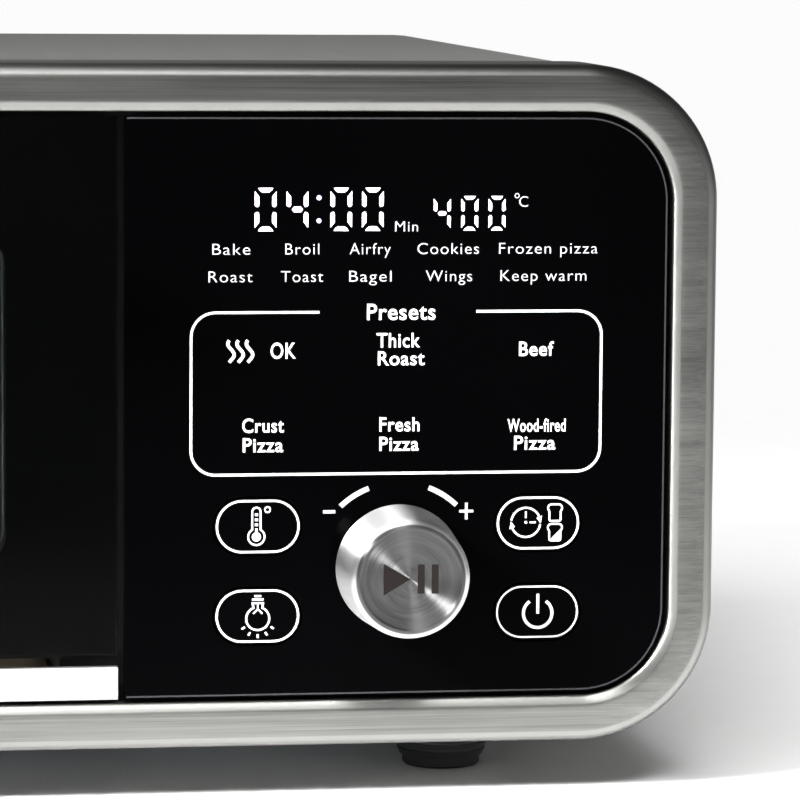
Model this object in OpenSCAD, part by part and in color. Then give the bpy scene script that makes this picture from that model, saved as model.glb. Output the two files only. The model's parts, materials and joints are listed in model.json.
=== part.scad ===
// Countertop toaster and pizza oven with a glass control panel beside a drop-down door.
// The origin is the middle of the footprint on the surface it stands on: +X to the right
// as the user sees it, +Y to the back, +Z up. The front faces -Y. Millimetres.

/* [Body] */
// Width of the front opening, which holds the door and the control panel
opening_w = 500; // [496:1:506]
// Height of the front opening
opening_h = 175; // [174:0.5:177]
// Corner radius of the front opening
opening_r = 26.5; // [25:0.5:27]
// Width of the steel border around the opening
border = 14; // [13.5:0.5:16]
// Height of the feet
foot_h = 16; // [14:1:24]
// Depth from the front face to the back of the rear panel
body_d = 396.5; // [395:0.5:410]
// Thickness of the steel front frame
frame_t = 1.2; // [1:0.1:1.3]

/* [Front] */
// Width of the control panel's share of the opening
panel_w = 164; // [162:1:166]
// How far the door and the panel sit behind the front face
recess = 1.5; // [1.2:0.1:1.8]
// Gap around the door and the panel
edge_gap = 1.2; // [1:0.1:1.3]
// Thickness of the door
door_t = 20; // [19.5:0.5:20]

/* [Controls] */
// Radius of the knob at its base
knob_r = 19; // [17:0.5:20]
// Height of the knob above the glass
knob_h = 26; // [24:1:28]
// Width of a key cap
key_w = 26; // [24:0.5:27]
// Height of a key cap
key_h = 17; // [16:0.5:18]

/* [Handle] */
// Length of the handle bar
handle_len = 250; // [220:5:260]
// Radius of the handle bar
handle_r = 8; // [7:0.5:9]
// Distance from the front face to the outermost point of the bar
handle_reach = 40.5; // [38:0.5:44]

/* [Hidden] */
$fn = 64;

eps = 0.01;
spacer_h = 12;
depth = handle_reach + body_d + spacer_h;
y_face = -depth / 2 + handle_reach;
y_back = y_face + body_d;
y_glass = y_face + recess;
half_w = opening_w / 2 + border;
z_low = foot_h;
z_open = foot_h + border;
z_top_open = z_open + opening_h;
z_high = z_top_open + border;
outer_r = opening_r + border;

// The layers behind the front, from front to back
y_bulk = y_face + 26;
bulk_t = 1.5;
y_shell = y_bulk + bulk_t;
skin_t = 1;
skin_in = frame_t;
panel_t = 1.2;
y_rear = y_back - panel_t;
skin_x = half_w - skin_in;
skin_low = z_low + skin_in;
skin_high = z_high - skin_in;
skin_r = outer_r - skin_in;
base_z = skin_low + skin_t;
base_t = 1.2;

// Control panel
panel_x0 = opening_w / 2 - panel_w + 0.4;
panel_cx = opening_w / 2 - panel_w / 2;
glass_t = 3;
y_glass_back = y_glass + glass_t;
knob_z = z_open + 39.7;
key_dx = 42.1;
key_rows = [z_open + 52.4, z_open + 25.6];
key_gap = 0.3;
key_proud = 0.2;
key_travel = 1;
y_board = y_face + 18;
board_t = 1.6;

// Door and its hinge
door_x0 = -opening_w / 2 + edge_gap;
door_x1 = opening_w / 2 - panel_w - 1.4;
door_z0 = z_open + 14;
door_z1 = z_top_open - edge_gap;
door_corner_r = 26.5;
hinge_y = y_glass + 8;
hinge_z = door_z0 + 7.5;
pin_r = 2;
glass_pane_t = 4;
sheet_t = 1.2;
y_pane_back = y_glass + glass_pane_t;
y_liner = y_glass + door_t - 1.5;
y_door_in = y_glass + door_t;
window = [-216, 52, door_z0 + 28, door_z0 + 124];
hinge_xs = [-206, 46];
handle_z = z_top_open - 19;
handle_cx = (door_x0 + door_x1) / 2;
post_xs = [handle_cx - handle_len / 2 + 20, handle_cx + handle_len / 2 - 20];
y_bar = y_face - handle_reach + handle_r;

// Cooking cavity, inside faces: x from, x to, z from, z to
cav = [-236, 74, z_open + 4, z_open + 162];
cav_t = 1;
cav_back = y_face + 356;
mouth = [-234, 72, z_open + 36, z_open + 160];
wall_x = 88;

// Rack, tray and heaters
rack_z = z_open + 68;
rack_x = [-232, 70];
rack_y = [y_face + 34, y_face + 319];
rail_z = rack_z - 4.6;
tray_x = [-229, 67];
tray_z = cav[2] + 0.4;
tray_rim = 4.8;
tray_back = y_face + 334;
lip_top = z_open + 11;
heater_r = 3.2;
heater_x = [-208, 100];
heater_high = cav[3] - 12;
heater_low = cav[2] + 26;
heater_front = [y_face + 86, y_face + 126];
heater_rear = [y_face + 246, y_face + 286];

// Convection fan on the right wall, and the lamp and the probe beside it
fan_y = y_face + 206;
fan_z = z_open + 84;
fan_hole_r = 52;
pan_x1 = 99;
shaft_r = 2.5;
lamp_y = y_face + 78;
lamp_z = z_open + 122;
lamp_hole_r = 21;
probe_y = y_face + 316;
probe_z = z_open + 138;

// Rear and underside
gland_x = 220;
gland_z = z_low + 36;
gland_bore_r = 4.5;
foot_xs = [-190, 190];
foot_ys = [y_face + 56, y_face + 356];

// ---------- shared shapes ----------

// Extrudes a drawing in X and Z from y = a to y = b.
module slab(a, b) translate([0, b, 0]) rotate([90, 0, 0]) linear_extrude(b - a) children();

module rect(x0, x1, z0, z1) translate([x0, z0]) square([x1 - x0, z1 - z0]);

// Rectangle with four round corners.
module round_rect(x0, x1, z0, z1, r) {
    rect(x0 + r, x1 - r, z0, z1);
    rect(x0, x1, z0 + r, z1 - r);
    for (x = [x0 + r, x1 - r], z = [z0 + r, z1 - r]) translate([x, z]) circle(r);
}

// Rectangle with half-round ends.
module capsule(cx, cz, w, h) {
    rect(cx - w / 2 + h / 2, cx + w / 2 - h / 2, cz - h / 2, cz + h / 2);
    for (s = [-1, 1]) translate([cx + s * (w - h) / 2, cz]) circle(h / 2);
}

module box(x0, x1, y0, y1, z0, z1) translate([x0, y0, z0]) cube([x1 - x0, y1 - y0, z1 - z0]);

module rod_x(x0, x1, y, z, r) translate([x0, y, z]) rotate([0, 90, 0]) cylinder(r = r, h = x1 - x0);

module rod_y(x, y0, y1, z, r) translate([x, y1, z]) rotate([90, 0, 0]) cylinder(r = r, h = y1 - y0);

module rod_z(x, y, z0, z1, r) translate([x, y, z0]) cylinder(r = r, h = z1 - z0);

// Sweeps a profile round a w by h rectangle with corner radius r: profile x points outward.
module sweep_round(w, h, r)
    for (i = [0:3]) {
        a = (i % 2 == 0 ? w : h) / 2;
        b = (i % 2 == 0 ? h : w) / 2;
        rotate([0, 0, 90 * i]) {
            translate([a, b - r, 0]) rotate([90, 0, 0]) linear_extrude(2 * (b - r)) children();
            translate([a - r, b - r, 0]) rotate_extrude(angle = 90) translate([r, 0]) children();
        }
    }

// The body's outline, taken in by i.
module body_shape(i) round_rect(-half_w + i, half_w - i, z_low + i, z_high - i, outer_r - i);

// The front opening, taken in by i.
module opening_shape(i)
    round_rect(-opening_w / 2 + i, opening_w / 2 - i, z_open + i, z_top_open - i, opening_r - i);

// The door's outline, taken in by i. Its lower left corner clears the frame as the door drops.
module door_shape(i) intersection() {
    opening_shape(edge_gap + i);
    round_rect(door_x0 + i, opening_w, door_z0 + i, 2 * z_high, door_corner_r - i);
    rect(-opening_w, door_x1 - i, door_z0 + i, z_high);
}

module panel_shape(i) intersection() {
    opening_shape(edge_gap + i);
    rect(panel_x0 + i, opening_w, z_open, z_high);
}

module window_shape(i) round_rect(window[0] - i, window[1] + i, window[2] - i, window[3] + i, 8 + i);

module key_places() for (s = [-1, 1], z = key_rows) translate([panel_cx + s * key_dx, 0, z]) children();

// Rows of upright slots in a face whose normal is +X.
module side_slots(x0, x1, y0, n, pitch, w, z0, z1)
    for (i = [0:n - 1]) box(x0, x1, y0 + i * pitch, y0 + i * pitch + w, z0, z1);

// ---------- casing ----------

// Folded sheet: front face with a bevel into the opening and a rounded outer edge.
module frame_profile() {
    bevel = [2.5, 2.2];
    lip = 6;
    edge_r = 4;
    lap = 34;
    difference() {
        union() {
            polygon([[0, -lip], [0, -bevel[1]], [bevel[0], 0], [border - edge_r, 0],
                [border - edge_r, -edge_r], [border, -edge_r], [border, -lip]]);
            translate([border - edge_r, -edge_r]) circle(edge_r);
            translate([border - frame_t, -lap]) square([frame_t, lap - lip + eps]);
        }
        translate([border - edge_r, -edge_r]) circle(edge_r - frame_t);
        polygon([[frame_t, -lap - 1], [frame_t, -bevel[1] - 0.5], [bevel[0] + 0.5, -frame_t],
            [border - edge_r, -frame_t], [border - edge_r, -edge_r], [border - frame_t, -edge_r],
            [border - frame_t, -lap - 1]]);
    }
}

module front_frame() color("#8f8f8c")
    translate([0, y_face, z_open + opening_h / 2]) rotate([90, 0, 0])
        sweep_round(opening_w, opening_h, opening_r) frame_profile();

// Inner front plate: the mouth of the cavity, the tray slot and the control window.
module front_bulkhead() color("#1c1c1c") slab(y_bulk, y_shell) difference() {
    body_shape(frame_t);
    round_rect(mouth[0], mouth[1], mouth[2], mouth[3], 6);
    rect(-231, 69, tray_z - 0.4, z_open + 10.2);
    round_rect(98, 236, z_open + 14, z_top_open - 14, 10);
}

// Top and sides in one bent sheet, with its lower lips turned in under the base plate.
module outer_wrap() color("#8a8a88") difference() {
    slab(y_shell, y_rear) difference() {
        body_shape(skin_in);
        body_shape(skin_in + skin_t);
        rect(-210, 210, 0, foot_h + 10);
    }
    side_slots(half_w - 20, half_w + 1, y_face + 196, 12, 12, 4, z_open + 46, z_open + 112);
    side_slots(-half_w - 1, 20 - half_w, y_face + 256, 7, 12, 4, z_open + 46, z_open + 112);
}

module base_plate() color("#7d8083") difference() {
    box(-221, 221, y_shell, y_rear, base_z, base_z + base_t);
    side_slots(120, 200, y_face + 226, 9, 14, 5, 0, z_open);
    for (x = foot_xs, y = foot_ys) rod_z(x, y, 0, z_open, 2.4);
}

module rear_panel() color("#3a3b3c") difference() {
    slab(y_rear, y_back) body_shape(skin_in);
    for (row = [0:2], i = [0:10])
        box(-210 + i * 22, -196 + i * 22, y_rear - 1, y_back + 1,
            z_open + 60 + row * 36, z_open + 64 + row * 36);
    for (i = [0:7])
        box(112 + i * 12, 116 + i * 12, y_rear - 1, y_back + 1, z_open + 84, z_open + 140);
    rod_y(gland_x, y_rear - 1, y_back + 1, gland_z, 9);
}

// Standoffs that keep the hot back away from the wall.
module rear_spacers() color("#1a1a1a") for (x = [-180, 120]) {
    slab(y_back, y_back + spacer_h) difference() {
        round_rect(x, x + 60, z_open + 16, z_open + 46, 6);
        round_rect(x + 4, x + 56, z_open + 20, z_open + 42, 3);
    }
    slab(y_back, y_back + 3) round_rect(x + 4, x + 56, z_open + 20, z_open + 42, 3);
}

module feet() color("#161616") for (x = foot_xs, y = foot_ys) {
    translate([x, y, 3]) cylinder(r1 = 13, r2 = 17, h = base_z - 3 - 2);
    rod_z(x, y, base_z - 2, base_z, 19);
    rod_z(x, y, base_z, base_z + 3, 2.2);
}

module foot_pads() color("#2b2b2b") for (x = foot_xs, y = foot_ys) rod_z(x, y, 0, 3, 12);

// Pan-head screws round the rear panel.
module case_screws() color("#b9bbbd") {
    screw_in = 7;
    for (x = [-200, -60, 80, 200], z = [z_low + screw_in, z_high - screw_in]) difference() {
        rod_y(x, y_back, y_back + 2.2, z, 3.6);
        box(x - 2.4, x + 2.4, y_back + 1.2, y_back + 3, z - 0.5, z + 0.5);
        box(x - 0.5, x + 0.5, y_back + 1.2, y_back + 3, z - 2.4, z + 2.4);
    }
}

// Bush that the mains cord passes through.
module cord_gland() color("#141414") difference() {
    union() {
        rod_y(gland_x, y_rear - 8, y_back + 11, gland_z, 8.9);
        rod_y(gland_x, y_back, y_back + 3, gland_z, 12);
        rod_y(gland_x, y_rear - 8, y_rear, gland_z, 11);
    }
    rod_y(gland_x, y_rear - 9, y_back + 12, gland_z, gland_bore_r);
}

// ---------- cavity ----------

// Where the heaters' ends, the lamp, the probe and the fan pan pass through the right wall.
module heater_ends(r, x0, x1)
    for (y = concat(heater_front, heater_rear), z = [heater_low, heater_high]) rod_x(x0, x1, y, z, r);

module wall_openings(x0, x1, grow) {
    heater_ends(4.5, x0, x1);
    rod_x(x0, x1, lamp_y, lamp_z, lamp_hole_r + grow);
    rod_x(x0, x1, probe_y, probe_z, 2.1 + grow);
    rod_x(x0, x1, fan_y, fan_z, fan_hole_r + grow);
}

module cavity_shell() color("#9b9c9a") difference() {
    box(cav[0] - cav_t, cav[1] + cav_t, y_shell, cav_back + cav_t, cav[2] - cav_t, cav[3] + cav_t);
    box(cav[0], cav[1], y_shell - 1, cav_back, cav[2], cav[3]);
    wall_openings(cav[1] - 1, cav[1] + 2, 0);
}

module compartment_wall() color("#85888a") difference() {
    box(wall_x, wall_x + 1.2, y_shell, y_rear, base_z + base_t, skin_high - skin_t);
    wall_openings(wall_x - 1, wall_x + 2, 6);
}

module insulation() color("#d8d3c3") difference() {
    slab(y_shell + 6, y_rear - 5) intersection() {
        body_shape(skin_in + skin_t + 1.5);
        rect(-half_w, wall_x, base_z + base_t + 0.5, z_high);
    }
    box(cav[0] - cav_t, cav[1] + cav_t, y_shell, cav_back + cav_t, cav[2] - cav_t, cav[3] + cav_t);
    wall_openings(cav[1], wall_x + 1, 6);
    for (y = foot_ys) rod_z(foot_xs[0], y, base_z, cav[2], 4);
}

// Woven seal round the mouth.
module door_gasket() color("#4a4845") {
    slab(y_door_in + 0.3, y_bulk) difference() {
        round_rect(mouth[0] - 6, mouth[1] + 6, mouth[2] - 6, mouth[3] + 6, 12);
        round_rect(mouth[0] - 1, mouth[1] + 1, mouth[2] - 1, mouth[3] + 1, 7);
    }
}

// Wire ladders on both side walls that carry the rack.
module rack_rails() color("#c9cbcc") {
    wire_r = 2;
    for (x = [cav[0] + 5, cav[1] - 5]) {
        side = x < 0 ? -1 : 1;
        for (z = [rail_z, rail_z + 15, rail_z + 42]) rod_y(x, rack_y[0] - 2, rack_y[1] + 2, z, wire_r);
        for (y = [rack_y[0] + 4, rack_y[1] - 4]) {
            rod_z(x + side * 3, y, rail_z - 6, rail_z + 48, 1.6);
            for (z = [rail_z + 6, rail_z + 34])
                rod_x(side < 0 ? cav[0] : x + 1, side < 0 ? x - 1 : cav[1], y, z, 1.6);
        }
    }
}

// A hairpin of sheathed heating rod, bent at the left, with both ends through the right wall.
module heater(ys, z) {
    mid = (ys[0] + ys[1]) / 2;
    bend_r = (ys[1] - ys[0]) / 2;
    for (y = ys) {
        rod_x(heater_x[0], heater_x[1], y, z, heater_r);
        rod_x(heater_x[1], heater_x[1] + 12, y, z, 1.5);
    }
    translate([heater_x[0], mid, z]) rotate([0, 0, 90])
        rotate_extrude(angle = 180) translate([bend_r, 0]) circle(heater_r);
}

module heater_upper_front() color("#6b5f57") heater(heater_front, heater_high);
module heater_upper_rear() color("#6b5f57") heater(heater_rear, heater_high);
module heater_lower_front() color("#6b5f57") heater(heater_front, heater_low);
module heater_lower_rear() color("#6b5f57") heater(heater_rear, heater_low);

// A comb hung from the roof and a shelf on the left wall carry the hairpins.
module heater_supports() color("#a9aaa8") {
    span = [heater_front[0] - 12, heater_rear[1] + 12];
    difference() {
        box(-150, -148.8, span[0], span[1], heater_high - 6, cav[3]);
        for (y = concat(heater_front, heater_rear)) rod_x(-152, -147, y, heater_high, heater_r);
    }
    difference() {
        box(cav[0], -196, span[0], span[1], heater_low - heater_r - 1.2, heater_low - heater_r);
        box(-226, -204, heater_front[1] + 12, heater_rear[0] - 12, heater_low - 6, heater_low);
    }
}

// Ceramic bushes where the heaters' ends leave the cavity.
module heater_insulators() color("#e9e4d8") difference() {
    union() {
        heater_ends(4.4, cav[1] + cav_t, wall_x + 6);
        heater_ends(7, wall_x + 1.2, wall_x + 6);
    }
    heater_ends(heater_r + 0.05, cav[1], wall_x + 8);
}

module temperature_probe() color("#c4c6c8") {
    rod_x(cav[1] - 34, wall_x + 10, probe_y, probe_z, 2);
    rod_x(cav[1] + cav_t, cav[1] + cav_t + 3, probe_y, probe_z, 6);
    rod_x(wall_x + 10, wall_x + 16, probe_y, probe_z, 3);
}

module thermal_cutout() color("#c9c2b2") {
    rod_x(wall_x + 1.2, wall_x + 9, fan_y + 62, fan_z + 70, 8.5);
    for (s = [-1, 1]) box(wall_x + 9, wall_x + 17, fan_y + 62 + s * 4 - 0.4, fan_y + 62 + s * 4 + 0.4,
        fan_z + 66.5, fan_z + 73.5);
}

// ---------- fan and lamp ----------

// Pressed pan behind the right wall: the impeller turns inside it.
module fan_pan() color("#8f9190") {
    difference() {
        rod_x(cav[1] + cav_t, pan_x1, fan_y, fan_z, fan_hole_r + 5.8);
        rod_x(cav[1], pan_x1 - 1.2, fan_y, fan_z, fan_hole_r + 4.6);
        rod_x(cav[1], pan_x1 + 1, fan_y, fan_z, 8);
    }
}

// Flat guard with rings of holes.
module fan_grille() color("#a5a7a6") difference() {
    rod_x(cav[1] - 1.2, cav[1], fan_y, fan_z, fan_hole_r + 5);
    for (ring = [1:4], i = [0:6 * ring - 1])
        translate([0, fan_y, fan_z]) rotate([360 / (6 * ring) * i, 0, 0])
            rod_x(cav[1] - 2, cav[1] + 1, 0, ring * 12, 3.6);
    rod_x(cav[1] - 2, cav[1] + 1, fan_y, fan_z, 4);
}

module fan_motor() color("#77706a") difference() {
    union() {
        box(110, 130, fan_y - 30, fan_y + 30, fan_z - 30, fan_z + 30);
        rod_x(104, 136, fan_y, fan_z, 16);
        box(107, 133, fan_y - 16, fan_y + 16, fan_z - 52, fan_z - 30);
    }
    rod_x(103, 137, fan_y, fan_z, shaft_r + 0.05);
}

// Straps that hold the motor on the compartment wall.
module motor_bracket() color("#9da0a2") for (s = [-1, 1]) {
    box(wall_x + 1.2, 108, fan_y + s * 74 - 5, fan_y + s * 74 + 5, fan_z + 16, fan_z + 26);
    box(108, 109.9, fan_y + (s < 0 ? -79 : 20), fan_y + (s < 0 ? -20 : 79), fan_z + 16, fan_z + 26);
}

// Impeller of flat blades on a disc.
module blower(x0, x1, r, blades) {
    rod_x(x1 - 1.2, x1, fan_y, fan_z, r);
    rod_x(x0, x1, fan_y, fan_z, 7);
    for (i = [0:blades - 1]) translate([0, fan_y, fan_z]) rotate([360 / blades * i, 0, 0])
        box(x0 + 1, x1 - 1.2 + eps, -0.6, 0.6, r * 0.3, r);
}

module fan_rotor() color("#b5b7b6") difference() {
    blower(79, 95, 46, 12);
    rod_x(78, 96, fan_y, fan_z, shaft_r);
}

module cooling_rotor() color("#5d6063") difference() {
    blower(146, 160, 38, 9);
    rod_x(145, 161, fan_y, fan_z, shaft_r);
}

module fan_shaft() color("#c7c9cb") rod_x(79, 163, fan_y, fan_z, shaft_r);

module lamp_lens() color("#e6ecec") {
    rod_x(cav[1] - 3, cav[1] + cav_t + 2, lamp_y, lamp_z, lamp_hole_r - 0.3);
    rod_x(cav[1] - 3, cav[1], lamp_y, lamp_z, lamp_hole_r + 3);
}

module lamp_bulb() color("#fff3d0") translate([wall_x - 1, lamp_y, lamp_z]) rotate([0, 90, 0])
    rotate_extrude() union() {
        intersection() {
            circle(8);
            rect(0, 8, -8, 8);
        }
        rect(0, 6.5, 0, 15);
    }

module lamp_holder() color("#e4ded0") difference() {
    union() {
        rod_x(cav[1] + cav_t, wall_x + 1.2, lamp_y, lamp_z, lamp_hole_r + 2);
        rod_x(wall_x + 1.2, wall_x + 30, lamp_y, lamp_z, 15);
    }
    rod_x(cav[1], wall_x - 1, lamp_y, lamp_z, lamp_hole_r);
    rod_x(cav[1], wall_x + 14, lamp_y, lamp_z, 9);
}

// ---------- controls ----------

module control_glass() color("#060606") slab(y_glass, y_glass_back) difference() {
    panel_shape(0);
    translate([panel_cx, knob_z]) circle(3.8);
    for (s = [-1, 1], z = key_rows)
        capsule(panel_cx + s * key_dx, z, key_w + 2 * key_gap, key_h + 2 * key_gap);
}

// Moulded tray behind the glass: it carries the display, the keys and the control board.
module panel_carrier() color("#202022") {
    rim = 4;
    plate = [y_glass_back + 3.2, y_glass_back + 5.2];
    slab(y_glass_back, plate[1]) difference() {
        panel_shape(1);
        panel_shape(1 + rim);
    }
    slab(plate[0], plate[1]) difference() {
        panel_shape(1 + rim - eps);
        translate([panel_cx, knob_z]) circle(4.2);
        rect(panel_cx - 47, panel_cx + 47, z_open + 134, z_open + 158.5);
        for (s = [-1, 1], z = key_rows) translate([panel_cx + s * key_dx, z]) circle(2.8);
    }
    for (x = [panel_cx - 68, panel_cx + 66], z = [z_open + 14, z_top_open - 14])
        rod_y(x, plate[1], y_board, z, 3.5);
}

module control_board() color("#1d5a36") {
    box(panel_cx - 74, panel_cx + 72, y_board, y_board + board_t, z_open + 8, z_top_open - 8);
    back = y_board + board_t;
    box(panel_cx - 20, panel_cx - 8, back, back + 2, z_open + 88, z_open + 100);
    box(panel_cx + 12, panel_cx + 36, back, back + 5, z_open + 20, z_open + 27);
    rod_y(panel_cx - 44, back, back + 5.5, z_open + 112, 6);
    rod_y(panel_cx + 44, back, back + 5.5, z_open + 112, 3);
}

// LED block behind the glass, with its legs down to the board.
module display_module() color("#101012") {
    box(panel_cx - 46, panel_cx + 46, y_glass_back, y_board - 4, z_open + 135, z_open + 157.5);
    for (i = [0:9], z = [z_open + 138, z_open + 154.5])
        rod_y(panel_cx - 40.5 + 9 * i, y_board - 4, y_board, z, 0.5);
}

// A cap in the glass, a flange behind it that stops it, and a stem to its switch.
module key(s, z) {
    x = panel_cx + s * key_dx;
    flange = y_glass_back + 0.3;
    slab(y_glass - key_proud, flange + 1.4) capsule(x, z, key_w, key_h);
    slab(flange, flange + 1.4) capsule(x, z, key_w + 3.4, key_h + 3.4);
    rod_y(x, flange + 1.4, y_board - 7.2, z, 2);
}

module temperature_key() color("#080808") key(-1, key_rows[0]);
module light_key() color("#080808") key(-1, key_rows[1]);
module timer_key() color("#080808") key(1, key_rows[0]);
module power_key() color("#080808") key(1, key_rows[1]);

module key_switches() color("#3c3c40") key_places() {
    box(-3, 3, y_board - 3.8, y_board, -3, 3);
    rod_y(0, y_board - 6, y_board - 3.8, 0, 1.75);
}

// Rotary encoder with a push switch under its spindle.
module encoder_housing() color("#9fa3a6") translate([panel_cx, 0, knob_z]) difference() {
    union() {
        box(-6, 6, y_board - 6.5, y_board, -6, 6);
        rod_y(0, y_glass_back + 2, y_board - 6.5, 0, 3.5);
    }
    rod_y(0, y_glass_back, y_board - 5.4, 0, 3.1);
    rod_y(0, y_board - 5.5, y_board - 0.6, 0, 5);
}

module encoder_plunger() color("#d9d9d4") translate([panel_cx, 0, knob_z])
    rod_y(0, y_board - 3.2, y_board - 2, 0, 4.5);

module knob_spindle() color("#c2c4c6") translate([panel_cx, 0, knob_z]) {
    rod_y(0, y_glass - 17, y_board - 3.3, 0, 3);
    rod_y(0, y_board - 4.3, y_board - 3.3, 0, 4.2);
}

// Plastic core that grips the spindle.
module knob_hub() color("#2a2a2c") translate([panel_cx, y_glass, knob_z]) rotate([90, 0, 0])
    difference() {
        union() {
            translate([0, 0, 3]) cylinder(r = 6.5, h = knob_h - 6);
            translate([0, 0, knob_h - 6]) cylinder(r = knob_r - 3.5, h = 3);
        }
        translate([0, 0, 2]) cylinder(r = 3, h = 15);
    }

// Spun metal cup: straight taper, a round shoulder and a shallow dish in its face.
module control_knob() color("#b7b8b8") translate([panel_cx, y_glass, knob_z]) rotate([90, 0, 0]) {
    start = 1.5;
    top_r = knob_r - 1.3;
    shoulder = 2.6;
    dish_r = knob_r - 3.65;
    dish = 0.4;
    wall = 1.2;
    taper = (knob_r - top_r) / (knob_h - shoulder - start);
    rotate_extrude() difference() {
        union() {
            polygon([[0, start], [knob_r, start], [top_r, knob_h - shoulder], [0, knob_h - shoulder]]);
            rect(0, top_r - shoulder, knob_h - shoulder - eps, knob_h);
            intersection() {
                translate([top_r - shoulder, knob_h - shoulder]) circle(shoulder);
                rect(0, knob_r, knob_h - shoulder, knob_h + 1);
            }
        }
        rect(-1, dish_r, knob_h - dish, knob_h + 1);
        polygon([[-1, 0], [knob_r - wall + taper, 0], [top_r - wall, knob_h - shoulder - 0.4],
            [knob_r - 3.5, knob_h - 3], [-1, knob_h - 3]]);
    }
}

// ---------- electronics ----------

module power_board() color("#1d5a36") {
    box(104, 246, y_face + 236, y_face + 376, z_low + 18, z_low + 19.6);
    for (x = [110, 216], y = [y_face + 242, y_face + 370])
        rod_z(x, y, base_z + base_t, z_low + 18, 3);
}

// Relays, transformer, capacitors, heat sink and terminals.
module power_parts() color("#2e4f86") {
    top = z_low + 19.6;
    for (i = [0:3]) box(112 + i * 22, 128 + i * 22, y_face + 248, y_face + 268, top, top + 16);
    box(116, 152, y_face + 284, y_face + 316, top, top + 28);
    for (x = [170, 192]) rod_z(x, y_face + 300, top, top + 20, 8);
    for (i = [0:5]) box(206 + i * 5, 207.5 + i * 5, y_face + 288, y_face + 330, top, top + 26);
    box(206, 232.5, y_face + 288, y_face + 330, top, top + 3);
    for (i = [0:2]) box(196 + i * 12, 206 + i * 12, y_face + 350, y_face + 364, top, top + 12);
    box(panel_cx + 12, panel_cx + 36, y_face + 238, y_face + 243, top, top + 5);
}

module ribbon_cable() color("#c8c8c2") {
    z = z_open + 23;
    box(panel_cx + 14, panel_cx + 34, y_board + board_t + 5, y_face + 241, z, z + 1);
    box(panel_cx + 14, panel_cx + 34, y_face + 240, y_face + 241, z_low + 19.6 + 5, z);
}

// ---------- door ----------

// Ears on the bulkhead that hold the hinge pins.
module hinge_brackets() color("#8d9092") for (x = hinge_xs) difference() {
    union() {
        box(x - 1.5, x + 1.5, hinge_y, y_bulk, hinge_z - 3.6, hinge_z + 3.6);
        rod_x(x - 1.5, x + 1.5, hinge_y, hinge_z, 3.6);
        box(x - 9, x + 9, y_bulk - 1.5, y_bulk, hinge_z - 3.6, hinge_z + 3.6);
    }
    rod_x(x - 2, x + 2, hinge_y, hinge_z, pin_r + 0.06);
}

// Pins with the cheeks that carry them in the door's lower rail.
module hinge_pins() color("#b9bbbd") for (x = hinge_xs) {
    rod_x(x - 10, x + 10, hinge_y, hinge_z, pin_r);
    for (s = [-1, 1]) box(x + s * 7 - 3, x + s * 7 + 3, y_pane_back + 0.3, y_liner - sheet_t,
        door_z0 + 1 + sheet_t, hinge_z + 8);
}

module hinge_notches() for (x = hinge_xs)
    box(x - 3.4, x + 3.4, y_pane_back + eps, y_door_in + 1, door_z0 - 1, hinge_z + 4.6);

module flange_notches() for (x = hinge_xs)
    box(x - 10, x + 10, y_liner - 3, y_door_in + 1, door_z0 - 1, hinge_z + 4.6);

// Folded steel channel behind the outer glass.
module door_frame() color("#151515") difference() {
    slab(y_pane_back, y_liner) difference() {
        door_shape(1);
        window_shape(0);
    }
    slab(y_pane_back - 1, y_liner - sheet_t) difference() {
        door_shape(1 + sheet_t);
        window_shape(sheet_t);
    }
    hinge_notches();
    flange_notches();
}

// Bright inner face of the door, which holds the inner glass.
module door_liner() color("#8f9190") difference() {
    slab(y_liner, y_door_in) difference() {
        door_shape(3);
        rect(-opening_w, opening_w, 0, hinge_z + 1.5);
        window_shape(-5);
    }
    hinge_notches();
    flange_notches();
}

module door_glass() color("#20262a") slab(y_glass, y_pane_back) difference() {
    door_shape(0);
    for (x = post_xs) translate([x, handle_z]) circle(3);
}

module inner_glass() color("#30363a") slab(y_liner - 4, y_liner) window_shape(-0.2);

// Round bar on two posts, with the screws that hold it from inside the door.
module door_handle() color("#a9aaab") {
    x0 = handle_cx - handle_len / 2;
    difference() {
        rod_x(x0, x0 + handle_len, y_bar, handle_z, handle_r);
        rod_x(x0 - 1, x0 + 12, y_bar, handle_z, handle_r - 1.5);
        rod_x(x0 + handle_len - 12, x0 + handle_len + 1, y_bar, handle_z, handle_r - 1.5);
    }
    for (x = [x0 + 0.5, x0 + handle_len - 12.5]) rod_x(x, x + 12, y_bar, handle_z, handle_r - 1.5);
    for (x = post_xs) {
        rod_y(x, y_bar, y_glass, handle_z, 5.5);
        rod_y(x, y_glass - 2, y_glass, handle_z, 7.5);
        rod_y(x, y_glass, y_liner - sheet_t, handle_z, 2.5);
    }
}

// ---------- rack and tray ----------

module wire_rack() color("#c6c8ca") {
    $fn = 24;
    frame_r = 2.2;
    wire_r = 1.6;
    brace_r = 1.3;
    wires = 14;
    xs = [rack_x[0] + frame_r, rack_x[1] - frame_r];
    ys = [rack_y[0] + frame_r, rack_y[1] - frame_r];
    corner = 12;
    for (x = xs) rod_y(x, ys[0] + corner, ys[1] - corner, rack_z, frame_r);
    for (y = ys) rod_x(xs[0] + corner, xs[1] - corner, y, rack_z, frame_r);
    for (i = [0, 1], j = [0, 1])
        translate([xs[i] + (i == 0 ? corner : -corner), ys[j] + (j == 0 ? corner : -corner), rack_z])
            rotate([0, 0, i == 0 ? (j == 0 ? 180 : 90) : (j == 0 ? 270 : 0)])
                rotate_extrude(angle = 90) translate([corner, 0]) circle(frame_r);
    for (i = [1:wires]) rod_y(xs[0] + (xs[1] - xs[0]) / (wires + 1) * i, ys[0], ys[1], rack_z, wire_r);
    rod_x(xs[0], xs[1], (ys[0] + ys[1]) / 2, rack_z, brace_r);
}

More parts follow.
